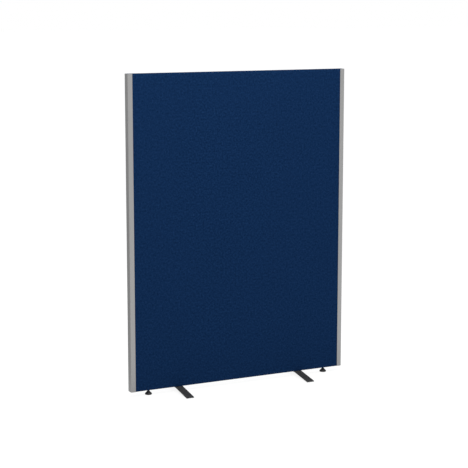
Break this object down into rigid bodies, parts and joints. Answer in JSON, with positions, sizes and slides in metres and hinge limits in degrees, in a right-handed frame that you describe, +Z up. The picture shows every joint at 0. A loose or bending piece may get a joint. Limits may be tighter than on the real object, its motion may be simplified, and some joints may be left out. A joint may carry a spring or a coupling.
{
  "type": "freestanding fabric screen",
  "caption": "Freestanding office screen: flat fabric-covered panel with metal edge trims, bent steel feet and screw-adjusted levelling glides.",
  "frame": {"origin": "on the floor under the middle of the panel", "axes": "+X along the panel's width to the right seen from the front, +Y to the back, +Z up"},
  "size_m": [1.2, 0.3154, 1.6],
  "materials": {
    "softwood": "matte",
    "beech": "satin",
    "hardboard": "satin",
    "honeycomb_board": "matte",
    "foam": "matte",
    "blue_cloth": "matte",
    "silver_trim": "satin",
    "galvanised_wire": "satin",
    "black_steel": "satin",
    "black_zinc": "satin",
    "brass_sleeve": "satin",
    "black_plastic": "satin"
  },
  "bodies": {
    "screen": {"back_board": "hardboard", "back_foam": "foam", "bottom_rail": "softwood", "cover_staples": "galvanised_wire", "fabric_cover": "blue_cloth", "frame_dowels": "beech", "front_board": "hardboard", "front_foam": "foam", "left_edge_trim": "silver_trim", "left_foot_bar": "black_steel", "left_foot_inserts": "brass_sleeve", "left_foot_screws": "black_zinc", "left_glide_insert": "brass_sleeve", "left_stile": "softwood", "lower_core": "honeycomb_board", "lower_cross_rail": "softwood", "middle_core": "honeycomb_board", "right_edge_trim": "silver_trim", "right_foot_bar": "black_steel", "right_foot_inserts": "brass_sleeve", "right_foot_screws": "black_zinc", "right_glide_insert": "brass_sleeve", "right_stile": "softwood", "top_rail": "softwood", "upper_core": "honeycomb_board", "upper_cross_rail": "softwood"},
    "left_glide_foot": {"left_glide_base": "black_plastic"},
    "left_glide_screw": {"left_glide_stem": "black_zinc"},
    "right_glide_foot": {"right_glide_base": "black_plastic"},
    "right_glide_screw": {"right_glide_stem": "black_zinc"}
  },
  "joints": [
    {"name": "left_glide_height", "type": "slide", "parent": "screen", "child": "left_glide_foot", "axis": [0, 0, 1], "range_m": [-0.01, 0.005]},
    {"name": "left_glide_turn", "type": "hinge", "parent": "left_glide_foot", "child": "left_glide_screw", "pos_m": [-0.5, 0, 0], "axis": [0, 0, 1], "range_deg": [-2880, 1440]},
    {"name": "right_glide_height", "type": "slide", "parent": "screen", "child": "right_glide_foot", "axis": [0, 0, 1], "range_m": [-0.01, 0.005]},
    {"name": "right_glide_turn", "type": "hinge", "parent": "right_glide_foot", "child": "right_glide_screw", "pos_m": [0.5, 0, 0], "axis": [0, 0, 1], "range_deg": [-2880, 1440]}
  ],
  "couplings": [
    {"joint": "left_glide_height", "follows": "left_glide_turn", "m_per_rad": 0.00019894},
    {"joint": "right_glide_height", "follows": "right_glide_turn", "m_per_rad": 0.00019894}
  ]
}
